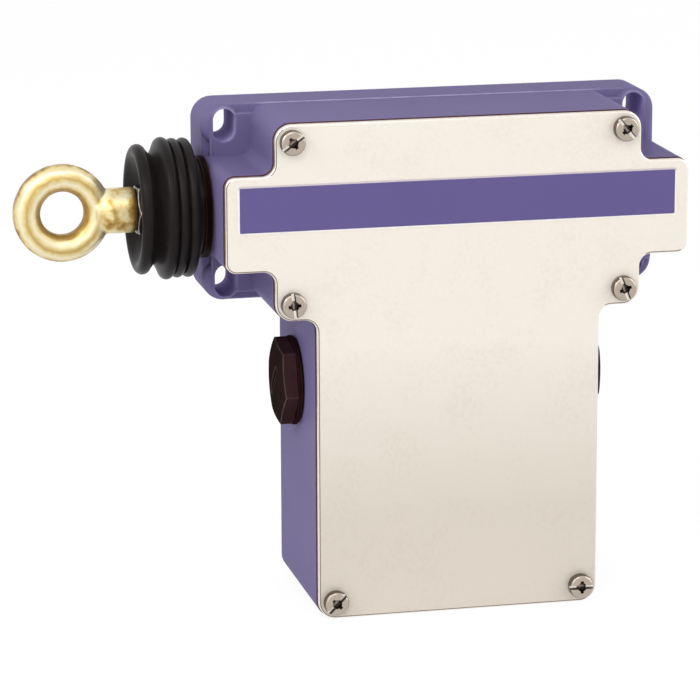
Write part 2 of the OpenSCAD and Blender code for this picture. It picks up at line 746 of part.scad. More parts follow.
module contact_block(x) {
    color([0.18, 0.18, 0.2]) translate([x, 0, 0]) difference() {
        translate([-block_w / 2, block_front, block_z - block_h]) cube([block_w, block_d, block_h]);
        // contact chamber, and its window in the front
        translate([-chamber[0] / 2, axis_y - chamber[1] / 2, chamber_bottom])
            cube([chamber[0], chamber[1], chamber_top - chamber_bottom]);
        translate([-pad_x + 0.8, block_front - 1, chamber_bottom])
            cube([2 * pad_x - 1.6, block_d / 2, chamber_top - chamber_bottom]);
        // plunger guides above and below
        translate([0, axis_y, chamber_top - 1]) cylinder(r = plunger_r + run_c, h = 20);
        translate([0, axis_y, block_z - block_h - 1]) cylinder(r = stem_r + run_c, h = 20);
        // slits for the strips, holes for their screws and for the fixing screws
        for (c = contacts) {
            translate([c[0] * tip_x - tip_d / 2, block_front - 1, c[1] - strip_t])
                cube([tip_d, block_d / 2, strip_t]);
            bore_y([c[0] * (pad_x + pad[0] / 2), pad_screw_z(c[1], c[2])],
                block_front + terminal_hole, block_front - 1, m3_d / 2);
        }
        for (s = [-1, 1]) bore_y([s * block_screw[0], block_screw[1]], 0, -case_d, m3_d / 2 + snug);
    }
}

// Plunger: round-nosed button, stem through the two bridging contacts, shoulder and lower guide.
module plunger(x) {
    color([0.75, 0.2, 0.15]) translate([x, axis_y, 0]) {
        translate([0, 0, plunger_z]) sphere(r = plunger_r);
        translate([0, 0, upper_bridge_z]) cylinder(r = plunger_r, h = plunger_z - upper_bridge_z);
        translate([0, 0, collar_z]) cylinder(r = stem_r, h = upper_bridge_z - collar_z + eps);
        translate([0, 0, collar_z]) cylinder(r = plunger_r, h = shoulder_t);
        translate([0, 0, stem_z]) cylinder(r = stem_r, h = collar_z - stem_z + eps);
    }
}

module bridge(z, face) {
    difference() {
        union() {
            translate([-tip_x - tip_d / 2, -tip_d / 2 - 0.5, z - strip_t]) cube([2 * tip_x + tip_d, tip_d + 1, strip_t]);
            for (s = [-1, 1]) translate([s * tip_x, 0, face > 0 ? z : z - strip_t - tip_h])
                cylinder(d = tip_d, h = tip_h, $fn = 24);
        }
        translate([0, 0, z - 2 * strip_t]) cylinder(r = stem_r + snug, h = 4 * strip_t);
    }
}

module bridges(x) {
    color([0.8, 0.6, 0.35]) translate([x, axis_y, 0]) {
        bridge(upper_bridge_z, 1);
        bridge(lower_bridge_z, -1);
    }
}

module contact_spring(x) {
    color([0.6, 0.6, 0.62]) translate([x, axis_y, lower_bridge_z])
        coil(bridge_gap - strip_t, 5, stem_r + 0.2 + fine_wire / 2, fine_wire, 12, 6);
}

module plunger_spring(x) {
    color([0.6, 0.6, 0.62]) translate([x, axis_y, chamber_bottom])
        coil(collar_z - chamber_bottom, 5, stem_r + 0.2 + fine_wire / 2, fine_wire, 12, 6);
}

module fixed_contacts() {
    color([0.8, 0.65, 0.4])
        for (x = [-block_x, block_x], c = contacts) translate([x, 0, 0]) strip(c[0], c[1], c[2]);
}

module at_terminals() {
    for (x = [-block_x, block_x], c = contacts)
        translate([x + c[0] * (pad_x + pad[0] / 2), 0, pad_screw_z(c[1], c[2])]) children();
}

module terminal_clamps() {
    color([0.78, 0.78, 0.8]) at_terminals() difference() {
        translate([-clamp[0] / 2, clamp_front, -clamp[1] / 2]) cube([clamp[0], clamp[2], clamp[1]]);
        bore_y([0, 0], 0, -case_d, m3_d / 2 + snug);
    }
}

module terminal_screws() {
    color([0.8, 0.8, 0.82]) at_terminals()
        cheese_screw([0, 0], clamp_front, terminal_screw_l, terminal_turn, m3_d, m3_head_d, m3_head_h);
}

module block_screws() {
    color([0.8, 0.8, 0.82]) for (x = [-block_x, block_x], s = [-1, 1])
        cheese_screw([x + s * block_screw[0], block_screw[1]], block_front, block_d + plate_t,
            terminal_turn, m3_d, m3_head_d, m3_head_h);
}

module mounting_plate() {
    color([0.7, 0.7, 0.68]) difference() {
        translate([-plate_half, block_back, plate_z[1]]) cube([2 * plate_half, plate_t, plate_z[0] - plate_z[1]]);
        for (s = [-1, 1], z = plate_screw_z) bore_y([s * plate_screw_x, z], 0, -case_d, screw_r + air);
        for (x = [-block_x, block_x], s = [-1, 1])
            bore_y([x + s * block_screw[0], block_screw[1]], 0, -case_d, m3_d / 2);
    }
}

module mounting_plate_screws() {
    color([0.8, 0.8, 0.82]) for (s = [-1, 1], z = plate_screw_z)
        cheese_screw([s * plate_screw_x, z], block_back, plate_t + screw_r + 1, terminal_turn,
            screw_d, plate_head_d, m3_head_h);
}

module earth_screw() {
    color([0.8, 0.8, 0.82])
        cheese_screw([0, earth_z], -earth_boss - clamp[2], earth_boss - back_t - clamp[2], terminal_turn);
}

module earth_clamp() {
    color([0.8, 0.7, 0.4]) difference() {
        translate([-earth_clamp_w / 2, -earth_boss - clamp[2], earth_z - earth_clamp_w / 2])
            cube([earth_clamp_w, clamp[2], earth_clamp_w]);
        bore_y([0, earth_z], 0, -case_d, screw_r + air);
    }
}

housing();
cover_gasket();
cover_plate();
cover_band();
cover_screws();
conduit_plug_left();
conduit_plug_right();
plug_seals();
gland_collar();
bellows();
rod_seal();
guide_bush_left();
guide_bush_right();
eye_nut();
lock_nut();
pull_rod();
spring_washer();
return_spring();
spring_cup();
cup_clip();
cam_sleeve();
cam_pin();
stop_collar();
stop_screw();
mounting_plate();
mounting_plate_screws();
block_screws();
contact_block(-block_x);  // contact_block_left
contact_block(block_x);  // contact_block_right
plunger(-block_x);  // plunger_left
plunger(block_x);  // plunger_right
bridges(-block_x);  // bridges_left
bridges(block_x);  // bridges_right
contact_spring(-block_x);  // contact_spring_left
contact_spring(block_x);  // contact_spring_right
plunger_spring(-block_x);  // plunger_spring_left
plunger_spring(block_x);  // plunger_spring_right
fixed_contacts();
terminal_clamps();
terminal_screws();
earth_screw();
earth_clamp();
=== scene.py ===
import math

import bmesh
import bpy
from mathutils import Matrix, Vector


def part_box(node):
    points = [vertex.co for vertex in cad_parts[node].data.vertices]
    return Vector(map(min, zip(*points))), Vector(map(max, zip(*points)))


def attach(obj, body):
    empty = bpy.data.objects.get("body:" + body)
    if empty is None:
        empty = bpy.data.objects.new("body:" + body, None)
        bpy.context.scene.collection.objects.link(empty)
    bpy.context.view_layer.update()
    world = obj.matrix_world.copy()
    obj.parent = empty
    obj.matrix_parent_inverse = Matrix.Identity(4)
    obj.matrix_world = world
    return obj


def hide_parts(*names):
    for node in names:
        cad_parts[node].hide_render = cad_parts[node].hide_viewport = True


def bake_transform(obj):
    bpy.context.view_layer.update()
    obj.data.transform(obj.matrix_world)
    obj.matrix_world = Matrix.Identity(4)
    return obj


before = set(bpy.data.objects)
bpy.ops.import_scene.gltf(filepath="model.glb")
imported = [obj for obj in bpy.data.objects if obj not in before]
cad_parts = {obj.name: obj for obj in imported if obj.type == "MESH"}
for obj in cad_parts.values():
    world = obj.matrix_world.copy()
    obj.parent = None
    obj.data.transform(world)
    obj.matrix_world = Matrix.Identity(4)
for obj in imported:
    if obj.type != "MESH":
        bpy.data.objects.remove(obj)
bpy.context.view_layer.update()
scene = bpy.context.scene
scene.view_settings.view_transform = "Standard"

# ---------------------------------------------------------------------------
# Studio
# A pale floor and backdrop that read as white, a soft key close above the
# front, broad weak fills from both sides, a small lamp for the notch above the
# left arm, and a camera with a long lens.

housing_low, housing_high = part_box("housing")
CAMERA_AT = Vector((-0.2494, -1.0157, 0.1971))
CAMERA_YAW = 12.728
CAMERA_PITCH = 13.292
CAMERA_ROLL = -0.198
LENS = 187.6
SENSOR = 36

camera = bpy.data.objects.new("camera", bpy.data.cameras.new("camera"))
camera.data.lens = LENS
camera.data.sensor_width = SENSOR
camera.data.clip_end = 20
camera.matrix_world = (
    Matrix.Translation(CAMERA_AT)
    @ Matrix.Rotation(math.radians(-CAMERA_YAW), 4, "Z")
    @ Matrix.Rotation(math.radians(90 - CAMERA_PITCH), 4, "X")
    @ Matrix.Rotation(math.radians(CAMERA_ROLL), 4, "Z")
)
scene.collection.objects.link(camera)
scene.camera = camera


def figure(tree, how, *terms):
    """The result of one sum, such as ADD or COMPARE, on outputs or plain numbers."""
    node = tree.nodes.new("ShaderNodeMath")
    node.operation = how
    for term, socket in zip(terms, node.inputs):
        if isinstance(term, (int, float)):
            socket.default_value = term
        else:
            tree.links.new(term, socket)
    return node.outputs["Value"]


def show_white(tree, lit, out, share, strength):
    """Cameras, gloss and glass see a share of plain white in place of what the lamps light."""
    path = tree.nodes.new("ShaderNodeLightPath")
    seen = path.outputs["Is Camera Ray"]
    for ray in ("Is Glossy Ray", "Is Transmission Ray"):
        seen = figure(tree, "MAXIMUM", seen, path.outputs[ray])
    white = tree.nodes.new("ShaderNodeEmission")
    white.inputs["Strength"].default_value = strength
    pick = tree.nodes.new("ShaderNodeMixShader")
    tree.links.new(figure(tree, "MULTIPLY", seen, share), pick.inputs["Fac"])
    tree.links.new(lit, pick.inputs[1])
    tree.links.new(white.outputs["Emission"], pick.inputs[2])
    tree.links.new(pick.outputs["Shader"], out)


FLOOR_REACH = 3.0
FLOOR_GAP = 0.0002
BACKDROP_H = 4.0
SHADOW_SHARE = 0.16
OPEN_FLOOR = 1.06

studio_floor = bpy.data.materials.new("studio_floor")
studio_floor.use_nodes = True
floor_tree = studio_floor.node_tree
floor_paint = floor_tree.nodes["Principled BSDF"]
floor_paint.inputs["Base Color"].default_value = (1.0, 1.0, 1.0, 1)
floor_paint.inputs["Roughness"].default_value = 0.9
show_white(
    floor_tree, floor_paint.outputs["BSDF"],
    floor_tree.nodes["Material Output"].inputs["Surface"], 1 - SHADOW_SHARE, OPEN_FLOOR,
)

floor_mesh = bpy.data.meshes.new("floor")
bm = bmesh.new()
bmesh.ops.create_grid(bm, x_segments=1, y_segments=1, size=FLOOR_REACH)
bmesh.ops.translate(bm, verts=bm.verts, vec=(0, 0, housing_low.z - FLOOR_GAP))
back_edge = [e for e in bm.edges if all(v.co.y > FLOOR_REACH - 0.1 for v in e.verts)]
grown = bmesh.ops.extrude_edge_only(bm, edges=back_edge)["geom"]
raised = [v for v in grown if isinstance(v, bmesh.types.BMVert)]
bmesh.ops.translate(bm, verts=raised, vec=(0, 0, BACKDROP_H))
bmesh.ops.recalc_face_normals(bm, faces=bm.faces)
bm.to_mesh(floor_mesh)
bm.free()
floor = bpy.data.objects.new("floor", floor_mesh)
scene.collection.objects.link(floor)
floor_mesh.materials.append(studio_floor)


def soft_lamp(name, at, aim, size, watts):
    """A square soft box that looks at a point."""
    lamp = bpy.data.objects.new(name, bpy.data.lights.new(name, "AREA"))
    lamp.data.shape = "SQUARE"
    lamp.data.size = size
    lamp.data.energy = watts
    lamp.location = at
    lamp.rotation_euler = (Vector(aim) - Vector(at)).to_track_quat("-Z", "Y").to_euler()
    scene.collection.objects.link(lamp)


middle = (housing_low + housing_high) / 2
notch = (-0.06, -0.02, 0.012)
soft_lamp("key", (-0.10, -0.45, 0.44), middle, size=0.35, watts=0.90)
soft_lamp("left_fill", (-1.0, -1.1, 0.35), middle, size=1.6, watts=5.6)
soft_lamp("arm_light", (-0.36, -0.15, 0.24), notch, size=0.16, watts=0.50)
soft_lamp("right_fill", (1.2, -0.45, 0.45), middle, size=1.0, watts=7.5)
soft_lamp("back_light", (0.0, 1.2, 1.6), middle, size=1.4, watts=0.5)

ROOM_LIGHT = 0.525
world = bpy.data.worlds.new("studio")
scene.world = world
world.use_nodes = True
sky = world.node_tree
background = sky.nodes["Background"]
background.inputs["Color"].default_value = (1, 1, 1, 1)
background.inputs["Strength"].default_value = ROOM_LIGHT
show_white(
    sky, background.outputs["Background"], sky.nodes["World Output"].inputs["Surface"], 1.0, 1.0,
)

# ---------------------------------------------------------------------------
# Housing
# Die-cast light alloy, painted a satin violet over the CAD solid's own shape.
# The cast wall keeps a faint orange-peel and small soft edges; the long edges
# of the flange carry a painted highlight, and the slot walls painted light.

# The painted highlight lies on edges behind the cover's edge, and is weaker from the lugs on.
FLANGE_START, FLANGE_FULL = -0.044, -0.036
SHOULDER_END, LUG_START = 0.047, 0.052
LUG_HIGHLIGHT = 0.3

# Each fixing slot is two half circles joined by straight walls, open at its mouth.
SLOT_X, SLOT_Z = 0.0601, 0.0224
SLOT_R, SLOT_STRAIGHT, SLOT_DEPTH = 0.0033, 0.0015, 0.0177
SLOT_MOUTH = 0.0004


def start_material(name, base, rough, metal=0.0):
    """A Principled material with Object coordinates ready for its texture nodes."""
    mat = bpy.data.materials.new(name)
    mat.use_nodes = True
    tree = mat.node_tree
    shader = tree.nodes["Principled BSDF"]
    shader.inputs["Base Color"].default_value = (*base, 1)
    shader.inputs["Roughness"].default_value = rough
    shader.inputs["Metallic"].default_value = metal
    coords = tree.nodes.new("ShaderNodeTexCoord").outputs["Object"]
    return mat, tree, shader, coords


def axes(tree, coords):
    """The coordinates' X, Y and Z."""
    split = tree.nodes.new("ShaderNodeSeparateXYZ")
    tree.links.new(coords, split.inputs["Vector"])
    return split.outputs["X"], split.outputs["Y"], split.outputs["Z"]


def noise(tree, coords, size, detail=2.0):
    """Noise whose blobs are about size metres across."""
    node = tree.nodes.new("ShaderNodeTexNoise")
    node.inputs["Scale"].default_value = 1 / size
    node.inputs["Detail"].default_value = detail
    tree.links.new(coords, node.inputs["Vector"])
    return node.outputs["Fac"]


def ramp(tree, value, stops):
    """Colours a value through stops of (position, colour)."""
    node = tree.nodes.new("ShaderNodeValToRGB")
    elements = node.color_ramp.elements
    for i, (at, colour) in enumerate(stops):
        spot = elements[i] if i < 2 else elements.new(at)
        spot.position = at
        spot.color = (*colour, 1)
    tree.links.new(value, node.inputs["Fac"])
    return node.outputs["Color"]


def spread(tree, value, low, high, start=0.0, end=1.0):
    """Maps start to end onto low to high, and stays at low or high beyond them."""
    node = tree.nodes.new("ShaderNodeMapRange")
    node.inputs["From Min"].default_value = start
    node.inputs["From Max"].default_value = end
    node.inputs["To Min"].default_value = low
    node.inputs["To Max"].default_value = high
    tree.links.new(value, node.inputs["Value"])
    return node.outputs["Result"]


def blended(tree, amount, under, over, how="MIX"):
    """Lays a colour over another by an amount; each term is an output or a plain value."""
    node = tree.nodes.new("ShaderNodeMix")
    node.data_type = "RGBA"
    node.blend_type = how
    for term, socket in ((amount, node.inputs[0]), (under, node.inputs[6]), (over, node.inputs[7])):
        if isinstance(term, float):
            socket.default_value = term
        elif isinstance(term, tuple):
            socket.default_value = (*term, 1)
        else:
            tree.links.new(term, socket)
    return node.outputs[2]


def bump(tree, shader, height, depth, strength, edge=0.0):
    """Raises the surface by height times depth metres, on edges softened over edge metres."""
    node = tree.nodes.new("ShaderNodeBump")
    node.inputs["Distance"].default_value = depth
    node.inputs["Strength"].default_value = strength
    tree.links.new(height, node.inputs["Height"])
    if edge:
        soft = tree.nodes.new("ShaderNodeBevel")
        soft.samples = 6
        soft.inputs["Radius"].default_value = edge
        tree.links.new(soft.outputs["Normal"], node.inputs["Normal"])
    tree.links.new(node.outputs["Normal"], shader.inputs["Normal"])


def openness(tree, reach, inside=False):
    """How open the surface lies within reach metres; from inside, edges are the closed parts."""
    node = tree.nodes.new("ShaderNodeAmbientOcclusion")
    node.inside = inside
    node.only_local = True
    node.samples = 8
    node.inputs["Distance"].default_value = reach
    return node.outputs["AO"]


def painted_edge_highlight(tree, coords, colour, bright, reach, share, where=None):
    """Mixes a painted highlight in on convex edges, here more and there less."""
    lit_edges = spread(tree, openness(tree, reach, inside=True), 0.0, share, start=0.92, end=0.6)
    patchy = spread(tree, noise(tree, coords, size=0.004, detail=3), 0.2, 1.5)
    amount = figure(tree, "MULTIPLY", lit_edges, patchy)
    if where:
        amount = figure(tree, "MULTIPLY", amount, where)
    return blended(tree, amount, colour, bright)


def along_flange(tree, coords):
    """1 on the flange's long edges, less out on the lugs, 0 beside the cover."""
    x, y, _ = axes(tree, coords)
    width = figure(tree, "ABSOLUTE", x)
    off_lugs = spread(tree, width, 1.0, LUG_HIGHLIGHT, start=SHOULDER_END, end=LUG_START)
    behind = spread(tree, y, 0.0, 1.0, start=FLANGE_START, end=FLANGE_FULL)
    return figure(tree, "MULTIPLY", off_lugs, behind)


def inside_slots(tree, coords):
    """1 on the walls of the four fixing slots, 0 elsewhere."""
    x, y, z = axes(tree, coords)
    sideways = figure(tree, "SUBTRACT", figure(tree, "ABSOLUTE", x), SLOT_X)
    upwards = figure(tree, "SUBTRACT", figure(tree, "ABSOLUTE", z), SLOT_Z)
    round_end = figure(tree, "SUBTRACT", figure(tree, "ABSOLUTE", upwards), SLOT_STRAIGHT)
    round_end = figure(tree, "MAXIMUM", round_end, 0.0)
    reach = figure(
        tree, "ADD", figure(tree, "POWER", figure(tree, "ABSOLUTE", sideways), 2.0),
        figure(tree, "POWER", round_end, 2.0),
    )
    across = figure(tree, "LESS_THAN", reach, SLOT_R ** 2)
    deep = figure(tree, "COMPARE", y, -SLOT_DEPTH / 2, SLOT_DEPTH / 2 - SLOT_MOUTH)
    return figure(tree, "MULTIPLY", across, deep)


def violet_paint():
    """Satin paint in faint clouds, with a painted highlight along the flange, dull inside the
    slots, whose walls are lightened by painted light.
    """
    mat, tree, shader, coords = start_material("violet_paint", (0.167, 0.140, 0.284), 0.5)
    cloud = noise(tree, coords, size=0.03, detail=3)
    colour = ramp(tree, cloud, [(0.3, (0.160, 0.134, 0.274)), (0.7, (0.174, 0.146, 0.294))])
    flange = along_flange(tree, coords)
    # Painted highlight along the flange's convex edges.
    colour = painted_edge_highlight(tree, coords, colour, (0.46, 0.42, 0.60), 0.0007, 1.0, flange)
    hollow = inside_slots(tree, coords)
    # Painted light: the walls inside the slots are a paler violet, standing for light that reaches
    # in.
    colour = blended(tree, hollow, colour, (0.40, 0.34, 0.60))
    tree.links.new(colour, shader.inputs["Base Color"])
    peel = noise(tree, coords, size=0.0009, detail=3)
    tree.links.new(spread(tree, peel, 0.44, 0.58), shader.inputs["Roughness"])
    tree.links.new(spread(tree, hollow, 0.03, 0.0), shader.inputs["Specular IOR Level"])
    bump(tree, shader, peel, depth=0.00004, strength=0.5, edge=0.0004)
    return mat


def dress(node, material):
    """Gives a CAD node its material, keeping its shape."""
    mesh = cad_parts[node].data
    mesh.materials.clear()
    mesh.materials.append(material)


dress("housing", violet_paint())

# ---------------------------------------------------------------------------
# Gasket
# A flat red-brown rubber sheet, cut out to the cover's outline and pinched
# between cover and housing, so that its outer edge bulges a little.

gasket_low, gasket_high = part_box("cover_gasket")
cover_low, cover_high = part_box("cover_plate")
ARM_HALF = cover_high.x
ARM_TOP = 0.0134
ARM_ROUND = 0.003
SHOULDER_HALF = 0.0524
SHOULDER_TOP = cover_high.z
SCREW_ROUND = 0.0049
HOLLOW_ROUND = 0.0035
BOX_HALF = 0.0407
BOX_BOTTOM = cover_low.z
GASKET_BULGE = 0.0002
GASKET_RIM = 0.0029
GASKET_ROUND = 0.0002
ON_PLANE = 1e-6
CORNER_ANGLE = 1.0


def round_off(bm, geom, offset, segments, affect="EDGES"):
    """Rounds edges, or with VERTICES the corners of an outline."""
    bmesh.ops.bevel(
        bm, geom=geom, offset=offset, offset_type="OFFSET", segments=segments, profile=0.5,
        affect=affect, material=-1,
    )


def case_outline(y, grow=0.0):
    """A bmesh with one T-shaped face at depth y, its corners rounded, grown outwards all round."""
    half = [
        (BOX_HALF, BOX_BOTTOM, "screw"), (BOX_HALF, -SHOULDER_TOP, "hollow"),
        (SHOULDER_HALF, -SHOULDER_TOP, "screw"), (SHOULDER_HALF, -ARM_TOP, "hollow"),
        (ARM_HALF, -ARM_TOP, "arm"), (ARM_HALF, ARM_TOP, "arm"),
        (SHOULDER_HALF, ARM_TOP, "hollow"), (SHOULDER_HALF, SHOULDER_TOP, "screw"),
    ]
    radius = {"screw": SCREW_ROUND + grow, "arm": ARM_ROUND + grow, "hollow": HOLLOW_ROUND - grow}
    bm = bmesh.new()
    kind_of = {}
    for side in (1, -1):
        for x, z, kind in half[::side]:
            corner = bm.verts.new((side * (x + grow), y, z + math.copysign(grow, z)))
            kind_of[corner] = kind
    bm.faces.new(list(kind_of))
    for kind, r in radius.items():
        corners = [v for v in kind_of if v.is_valid and kind_of[v] == kind]
        round_off(bm, corners, r, 10, "VERTICES")
    return bm


def rim_at(bm, *depths):
    """The sharp edges of a sheet that lie at one of the depths."""
    return [
        e for e in bm.edges
        if any(all(abs(v.co.y - depth) < ON_PLANE for v in e.verts) for depth in depths)
        and e.calc_face_angle(0) > CORNER_ANGLE
    ]


def thicken(bm, back, front, edge_round, segments, both=False):
    """Draws a flat outline forward from one depth to another and rounds its outer edges off."""
    grown = bmesh.ops.extrude_face_region(bm, geom=list(bm.faces))["geom"]
    ahead = [v for v in grown if isinstance(v, bmesh.types.BMVert)]
    bmesh.ops.translate(bm, verts=ahead, vec=(0, front - back, 0))
    rim = rim_at(bm, back, front) if both else rim_at(bm, front)
    round_off(bm, rim, edge_round, segments)
    bmesh.ops.recalc_face_normals(bm, faces=bm.faces)


def finish_piece(name, bm, materials, body, stands_for=(), sharp=35):
    """Turns a bmesh into a smooth-shaded piece that rides on a body and replaces its CAD nodes."""
    mesh = bpy.data.meshes.new(name)
    bm.to_mesh(mesh)
    bm.free()
    mesh.polygons.foreach_set("use_smooth", [True] * len(mesh.polygons))
    mesh.set_sharp_from_angle(angle=math.radians(sharp))
    for material in materials:
        mesh.materials.append(material)
    piece = bpy.data.objects.new(name, mesh)
    scene.collection.objects.link(piece)
    if body:
        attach(piece, body)
    if stands_for:
        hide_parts(*stands_for)
    return piece


def gasket_rubber():
    """Red-brown rubber with a fine, dull grain."""
    mat, tree, shader, coords = start_material("gasket_rubber", (0.07, 0.022, 0.021), 0.7)
    grain = noise(tree, coords, size=0.0006)
    colour = ramp(tree, grain, [(0.3, (0.052, 0.016, 0.016)), (0.7, (0.10, 0.030, 0.025))])
    tree.links.new(colour, shader.inputs["Base Color"])
    shader.inputs["Specular IOR Level"].default_value = 0.1
    bump(tree, shader, grain, depth=0.00003, strength=0.6)
    return mat


bm = case_outline(gasket_high.y, GASKET_BULGE)
bmesh.ops.inset_individual(bm, faces=list(bm.faces), thickness=GASKET_RIM, use_even_offset=True)
opening = max(bm.faces, key=lambda f: f.calc_area())
bmesh.ops.delete(bm, geom=[opening], context="FACES_ONLY")
thicken(bm, gasket_high.y, gasket_low.y, GASKET_ROUND, 3, both=True)
gasket = finish_piece(
    "gasket_sheet", bm, [gasket_rubber()], "housing", ["cover_gasket"], sharp=50,
)

# ---------------------------------------------------------------------------
# Cover
# Flat T-shaped plate, 2 mm of matt nickel-coloured sheet, blanked out so that
# its front edge is rolled over and polished. Six screws pull it down.

COVER_ROUND = 0.00055
COVER_BACK_ROUND = 0.0003
SHADE_FROM, SHADE_TO = -0.035, -0.085


def tones(tree, value, base, dark):
    """Runs a value from a darker share of the base colour up to the base colour."""
    return ramp(tree, value, [(0.3, tuple(c * dark for c in base)), (0.7, base)])


def cover_metal():
    """Fine blasted sheet: a faint speckle over faint clouds, with painted shade that darkens it
    towards the foot.
    """
    mat, tree, shader, coords = start_material("cover_metal", (0.83, 0.77, 0.69), 0.5, 0.4)
    cloud = noise(tree, coords, size=0.014, detail=5)
    speckle = noise(tree, coords, size=0.0011)
    both = figure(tree, "ADD", speckle, cloud)
    colour = ramp(tree, spread(tree, both, 0.0, 0.5), [
        (0.3, (0.770, 0.705, 0.630)), (0.7, (0.858, 0.800, 0.726)),
    ])
    _, _, z = axes(tree, coords)
    # Painted shade: the sheet darkens towards its foot.
    lower_shade = spread(tree, z, 0.0, 1.0, start=SHADE_FROM, end=SHADE_TO)
    colour = blended(tree, lower_shade, colour, (0.80, 0.785, 0.765), "MULTIPLY")
    tree.links.new(colour, shader.inputs["Base Color"])
    grain = noise(tree, coords, size=0.0005, detail=3)
    tree.links.new(spread(tree, grain, 0.42, 0.6), shader.inputs["Roughness"])
    bump(tree, shader, grain, depth=0.00003, strength=0.7)
    return mat


def cover_edge(name, base, rough):
    """The smooth edge of the same sheet, in a tone of its own."""
    mat, tree, shader, coords = start_material(name, base, rough, 0.9)
    grain = noise(tree, coords, size=0.0012, detail=3)
    tree.links.new(tones(tree, grain, base, 0.85), shader.inputs["Base Color"])
    tree.links.new(spread(tree, grain, rough - 0.06, rough + 0.06), shader.inputs["Roughness"])
    return mat


# Bright where the sheet is cut; brown painted shade where its front rolls over on the left and
# bottom.
SHEET, CUT_EDGE, SHADED_EDGE = range(3)
cover_finishes = [
    cover_metal(),
    cover_edge("cover_cut_edge", (0.90, 0.84, 0.77), 0.3),
    cover_edge("cover_shaded_edge", (0.24, 0.185, 0.14), 0.35),
]
bm = case_outline(cover_high.y)
thicken(bm, cover_high.y, cover_low.y, COVER_ROUND, 3)
round_off(bm, rim_at(bm, cover_high.y), COVER_BACK_ROUND, 2)
for f in bm.faces:
    f.normal_update()
    rolling = f.normal.y < 0 and f.calc_center_median().y > cover_low.y + ON_PLANE
    if abs(f.normal.y) < 0.9:
        f.material_index = CUT_EDGE
    # Painted shade on the left- and bottom-facing faces of the front rounding.
    elif rolling and f.normal.z < 0.2 and f.normal.x < 0.1:
        f.material_index = SHADED_EDGE
    else:
        f.material_index = SHEET
cover = finish_piece("cover_sheet", bm, cover_finishes, "housing", ["cover_plate"])
even = cover.modifiers.new("even_shading", "WEIGHTED_NORMAL")
even.keep_sharp = True

# ---------------------------------------------------------------------------
# Band
# Thin foil stuck across the arms of the cover, printed violet and left bare,
# with a narrow unprinted rim all round the print, painted with shade along the top.

FOIL_RIM = 0.0005
FOIL_OVER = 0.0004
FOIL_CORNER = 0.0008
FOIL_ROUND = 0.00005
band_low, band_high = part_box("cover_band")


def band_foil():
    """Even violet print with a soft sheen."""
    mat, tree, shader, coords = start_material("band_foil", (0.114, 0.091, 0.244), 0.4)
    grain = noise(tree, coords, size=0.0008)
    tree.links.new(spread(tree, grain, 0.3, 0.4), shader.inputs["Roughness"])
    cloud = noise(tree, coords, size=0.05, detail=1)
    colour = ramp(tree, cloud, [(0.3, (0.112, 0.089, 0.240)), (0.7, (0.117, 0.093, 0.248))])
    tree.links.new(colour, shader.inputs["Base Color"])
    shader.inputs["Specular IOR Level"].default_value = 0.15
    return mat


def foil_rim(name, base):
    """The unprinted rim, through which the sheet shows."""
    mat, tree, shader, coords = start_material(name, base, 0.3)
    grain = noise(tree, coords, size=0.003)
    tree.links.new(tones(tree, grain, base, 0.92), shader.inputs["Base Color"])
    return mat


PRINT, SHADED_TOP, FLAT = range(3)
foil_finishes = [
    band_foil(),
    foil_rim("shaded_top_rim", (0.56, 0.50, 0.52)),
    foil_rim("clear_rim", (0.86, 0.82, 0.77)),
]
foil_size = band_high - band_low
foil_place = ((band_low.x + band_high.x) / 2, band_high.y, (band_low.z + band_high.z) / 2)
foil_scale = (foil_size.x + 2 * FOIL_OVER, 1, foil_size.z + 2 * FOIL_OVER)
upright = Matrix.Rotation(math.radians(90), 4, "X")
bm = bmesh.new()
bmesh.ops.create_grid(bm, x_segments=1, y_segments=1, size=0.5, matrix=upright)
bmesh.ops.scale(bm, verts=bm.verts, vec=foil_scale)
bmesh.ops.translate(bm, verts=bm.verts, vec=foil_place)
round_off(bm, list(bm.verts), FOIL_CORNER, 3, "VERTICES")
bmesh.ops.inset_individual(bm, faces=list(bm.faces), thickness=FOIL_RIM, use_even_offset=True)
# The rim's top strip is a greyer painted shade; the rest stays clear.
for f in bm.faces:
    f.material_index = SHADED_TOP if f.calc_center_median().z > band_high.z - FOIL_RIM else FLAT
max(bm.faces, key=lambda f: f.calc_area()).material_index = PRINT
thicken(bm, band_high.y, band_low.y, FOIL_ROUND, 2)
band = finish_piece("band_print", bm, foil_finishes, "housing", ["cover_band"])

# ---------------------------------------------------------------------------
# Cover screws
# Six M4 cheese-head screws, nickel plated, with a slot right across and a
# cross recess in the middle. Their heads stand on the plate.

HEAD_R = 0.0035
HEAD_H = 0.0026
HEAD_ROUND = 0.0008
SHANK_R = 0.00195
SHANK_L = 0.0146
SLOT_BLADE = (0.0075, 0.0015, 0.0024)
CROSS_BLADE = (0.0050, 0.0013, 0.0038)
CORNER_BLADE = (0.0032, 0.0011, 0.0026)
CREASE = 30

# Each place is x, z and the turn of the slot in degrees.
screw_places = [
    (-0.0476, 0.0228, 35), (-0.0476, -0.0228, -83), (-0.0359, -0.1096, 45),
    (0.0476, 0.0228, -50), (0.0476, -0.0228, -69), (0.0359, -0.1096, 0),
]


